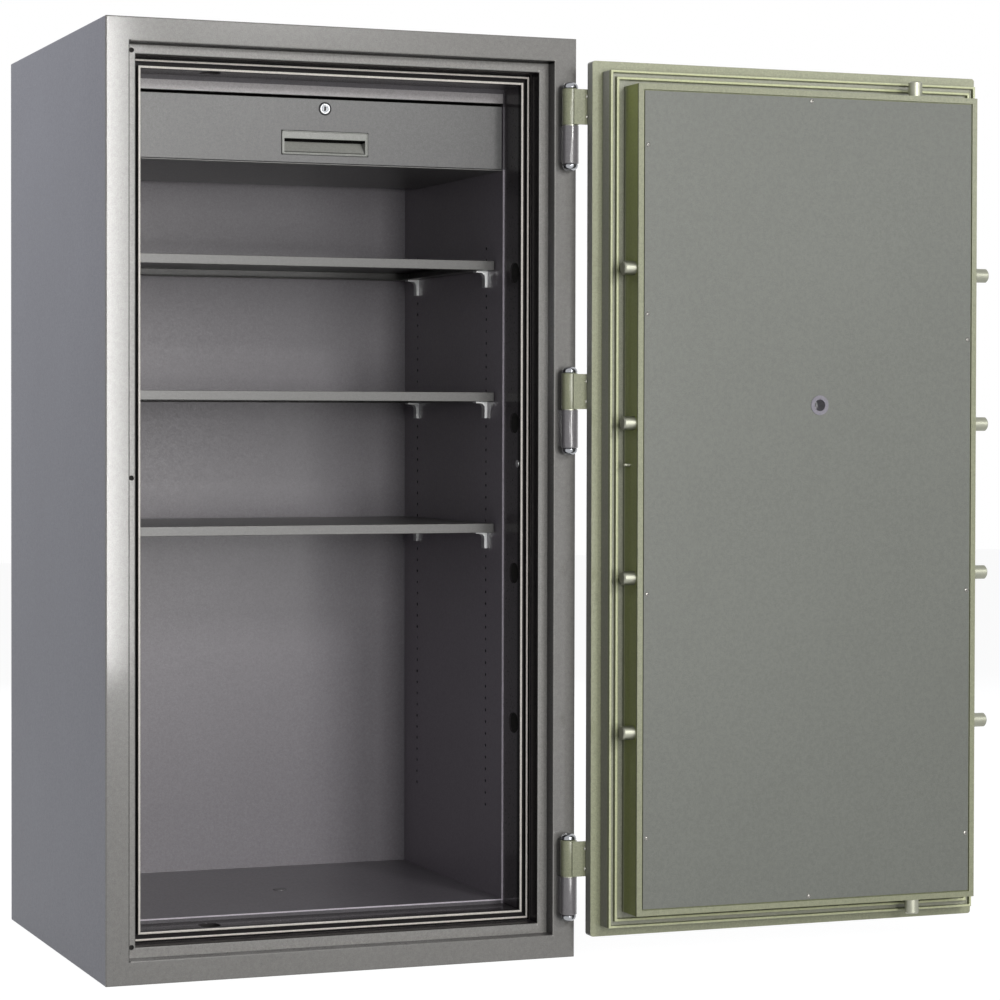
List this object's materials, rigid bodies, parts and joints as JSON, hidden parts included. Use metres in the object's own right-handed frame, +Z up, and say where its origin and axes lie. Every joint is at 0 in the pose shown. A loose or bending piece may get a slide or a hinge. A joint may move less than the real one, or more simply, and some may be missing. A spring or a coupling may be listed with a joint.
{
  "type": "fireproof safe",
  "caption": "Tall fire-resisting steel safe with a stepped swing door thrown open, side, top and bottom bolts, folded shelves and a locking inner drawer on runners.",
  "frame": {"origin": "centre of the base, on the floor", "axes": "+Z up, -Y out of the front of the body, +X to the right seen from the front, towards the hinges"},
  "size_m": [1.491, 0.8339, 1.5],
  "materials": {
    "body_side_paint": "satin",
    "frame_paint": "satin",
    "fill": "matt",
    "liner_paint": "satin",
    "wall_paint": "satin",
    "cabinet_paint": "satin",
    "rail_paint": "satin",
    "shelf_paint": "satin",
    "drawer_paint": "satin",
    "pull_paint": "satin",
    "door_paint": "satin",
    "cover_paint": "satin",
    "zinc": "satin",
    "steel": "satin",
    "bolt_steel": "polished",
    "chrome": "polished",
    "satin": "satin",
    "brass": "satin",
    "dial_black": "gloss",
    "plug": "matt"
  },
  "bodies": {
    "safe": {"outer_shell": "body_side_paint", "front_frame": "frame_paint", "fire_fill": "fill", "inner_liner": "liner_paint", "side_panels": "wall_paint", "drawer_cabinet": "cabinet_paint", "drawer_rail": "rail_paint", "cabinet_runners": "zinc", "shelf_upper": "shelf_paint", "shelf_middle": "shelf_paint", "shelf_lower": "shelf_paint", "shelf_clips": "zinc", "hinge_lug_top": "frame_paint", "hinge_lug_middle": "frame_paint", "hinge_lug_bottom": "frame_paint", "hinge_pins": "steel", "hinge_rings": "steel", "hinge_caps_lower": "chrome", "strike_button": "steel", "anchor_plug": "plug"},
    "door": {"door_plate": "door_paint", "door_tray": "door_paint", "door_fill": "fill", "bolt_box": "door_paint", "back_cover": "cover_paint", "cover_screws": "cover_paint", "key_bush": "zinc", "hinge_leaf_top": "door_paint", "hinge_leaf_middle": "door_paint", "hinge_leaf_bottom": "door_paint", "hinge_caps_upper": "chrome", "hard_plate": "steel", "lock_case": "zinc", "dial_ring": "satin", "handle_rose": "satin", "bolt_guides": "steel", "trip_bracket": "steel"},
    "latch_bolt_set": {"latch_bar": "steel", "latch_bolts": "bolt_steel"},
    "hinge_bolt_set": {"hinge_bar": "steel", "hinge_bolts": "bolt_steel"},
    "top_bolt_set": {"top_bolt": "bolt_steel", "top_strap": "steel"},
    "bottom_bolt_set": {"bottom_bolt": "bolt_steel", "bottom_strap": "steel"},
    "handle_set": {"handle": "satin", "drive_disc": "steel"},
    "dial_set": {"dial": "dial_black", "dial_spindle": "steel"},
    "lock_bolt_set": {"lock_bolt": "brass"},
    "trip_set": {"trip_pin": "bolt_steel", "trip_spring": "steel"},
    "drawer": {"drawer_tray": "drawer_paint", "drawer_front": "drawer_paint", "drawer_pull": "pull_paint", "drawer_runners": "zinc", "drawer_lock": "chrome"},
    "drawer_lock_set": {"drawer_plug": "chrome", "drawer_cam": "zinc"}
  },
  "joints": [
    {"name": "door_swing", "type": "hinge", "parent": "safe", "child": "door", "pos_m": [0.374, -0.3628, 0.75], "axis": [0, 0, 1], "range_deg": [-180, 0]},
    {"name": "handle_turn", "type": "hinge", "parent": "door", "child": "handle_set", "pos_m": [0.948, -0.3628, 0.75], "axis": [0, -1, 0], "range_deg": [0, 60]},
    {"name": "latch_slide", "type": "slide", "parent": "door", "child": "latch_bolt_set", "axis": [-1, 0, 0], "range_m": [0, 0.028]},
    {"name": "hinge_side_slide", "type": "slide", "parent": "door", "child": "hinge_bolt_set", "axis": [1, 0, 0], "range_m": [0, 0.02]},
    {"name": "top_bolt_slide", "type": "slide", "parent": "door", "child": "top_bolt_set", "axis": [0, 0, -1], "range_m": [0, 0.025]},
    {"name": "bottom_bolt_slide", "type": "slide", "parent": "door", "child": "bottom_bolt_set", "axis": [0, 0, 1], "range_m": [0, 0.025]},
    {"name": "dial_turn", "type": "hinge", "parent": "door", "child": "dial_set", "pos_m": [0.748, -0.3628, 0.925], "axis": [0, -1, 0], "continuous": true},
    {"name": "lock_bolt_slide", "type": "slide", "parent": "door", "child": "lock_bolt_set", "axis": [0, 0, 1], "range_m": [-0.008, 0]},
    {"name": "trip_slide", "type": "slide", "parent": "door", "child": "trip_set", "axis": [1, 0, 0], "range_m": [0, 0.006], "stiffness_N_per_m": 200, "springref_m": -0.01},
    {"name": "drawer_slide", "type": "slide", "parent": "safe", "child": "drawer", "axis": [0, -1, 0], "range_m": [0, 0.3]},
    {"name": "drawer_lock_turn", "type": "hinge", "parent": "drawer", "child": "drawer_lock_set", "pos_m": [0.0065, -0.2, 1.3845], "axis": [0, 1, 0], "range_deg": [-90, 0]}
  ],
  "couplings": [
    {"joint": "latch_slide", "follows": "handle_turn", "m_per_rad": 0.026738},
    {"joint": "hinge_side_slide", "follows": "handle_turn", "m_per_rad": 0.019099},
    {"joint": "top_bolt_slide", "follows": "handle_turn", "m_per_rad": 0.023873},
    {"joint": "bottom_bolt_slide", "follows": "handle_turn", "m_per_rad": 0.023873}
  ]
}
